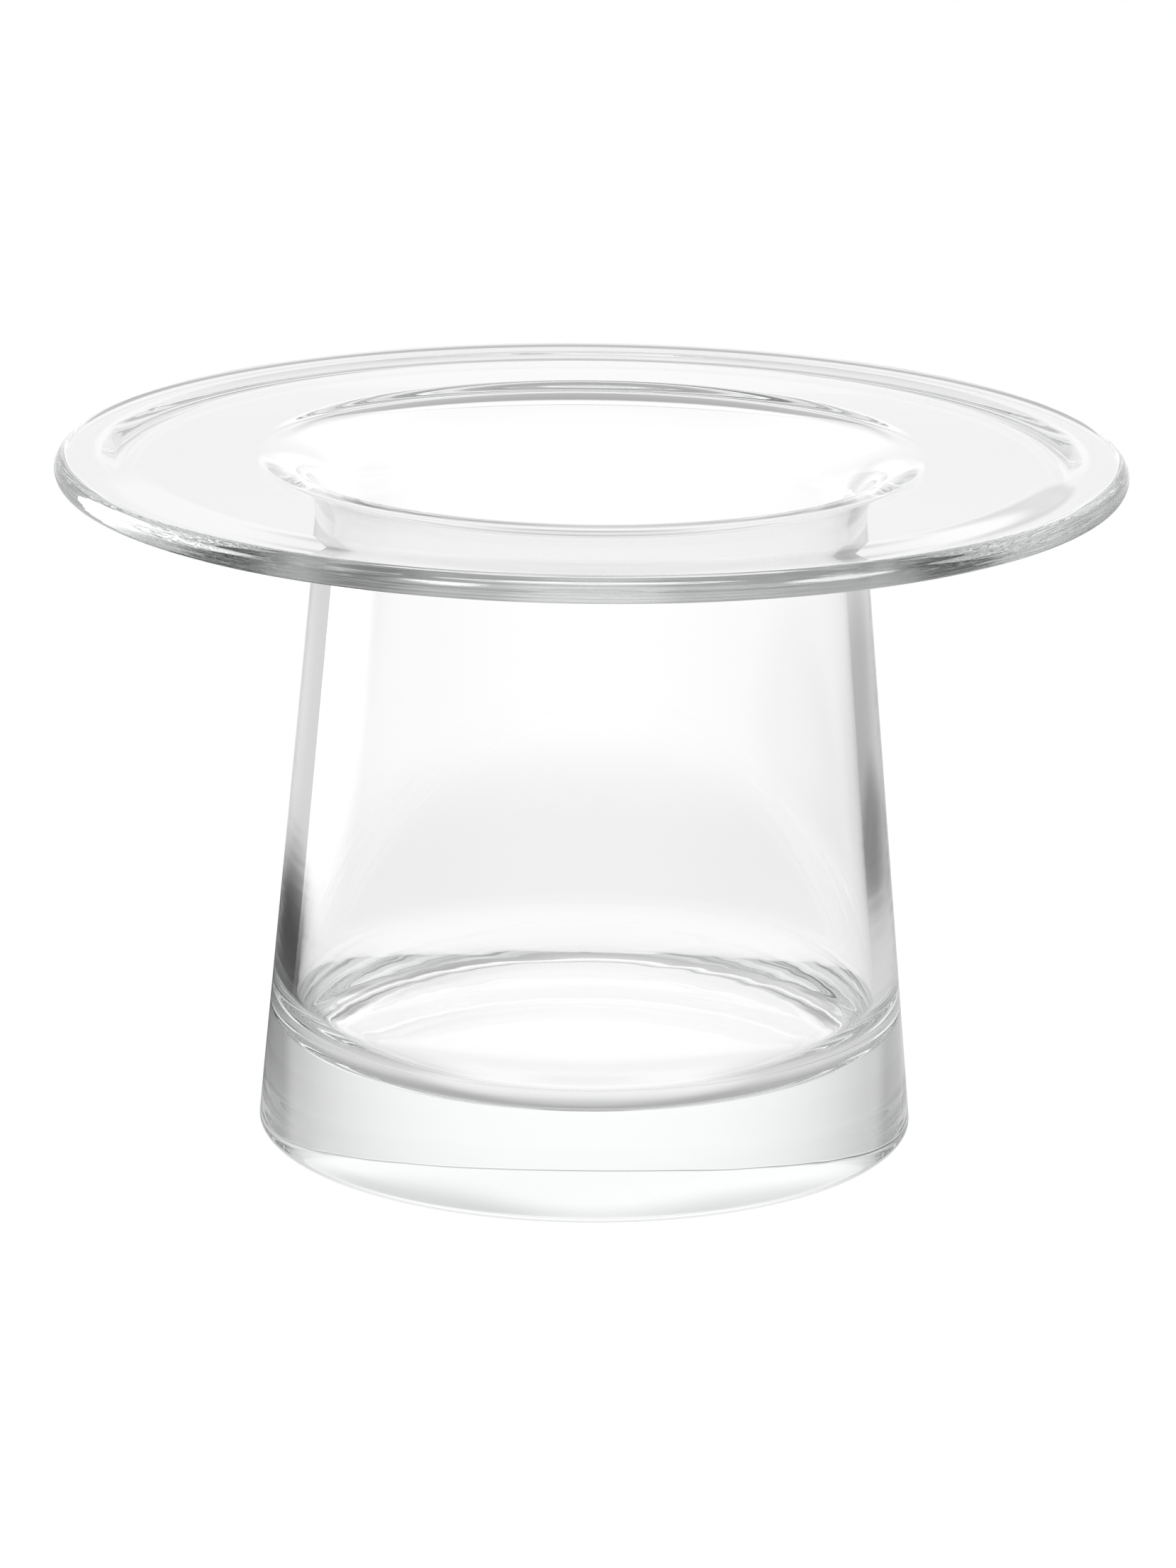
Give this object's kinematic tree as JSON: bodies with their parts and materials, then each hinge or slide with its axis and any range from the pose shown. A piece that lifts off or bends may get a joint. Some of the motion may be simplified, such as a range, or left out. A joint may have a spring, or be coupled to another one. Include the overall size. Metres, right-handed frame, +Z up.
{
  "type": "lantern vase",
  "caption": "Clear thick glass lantern vase: tapered hollow body on a solid heavy base, with a curved throat opening into a wide flat round brim.",
  "frame": {"origin": "middle of the foot, on the surface that the vase stands on", "axes": "+Z up along the vase's axis; X and Y are level and alike, because the vase is round"},
  "size_m": [0.2446, 0.2446, 0.16],
  "materials": {
    "clear_glass": "clear colourless blown glass, fire polished and smooth"
  },
  "bodies": {
    "root": {"heavy_base": "clear_glass", "tapered_wall": "clear_glass", "curved_throat": "clear_glass", "flat_brim": "clear_glass"}
  },
  "joints": []
}
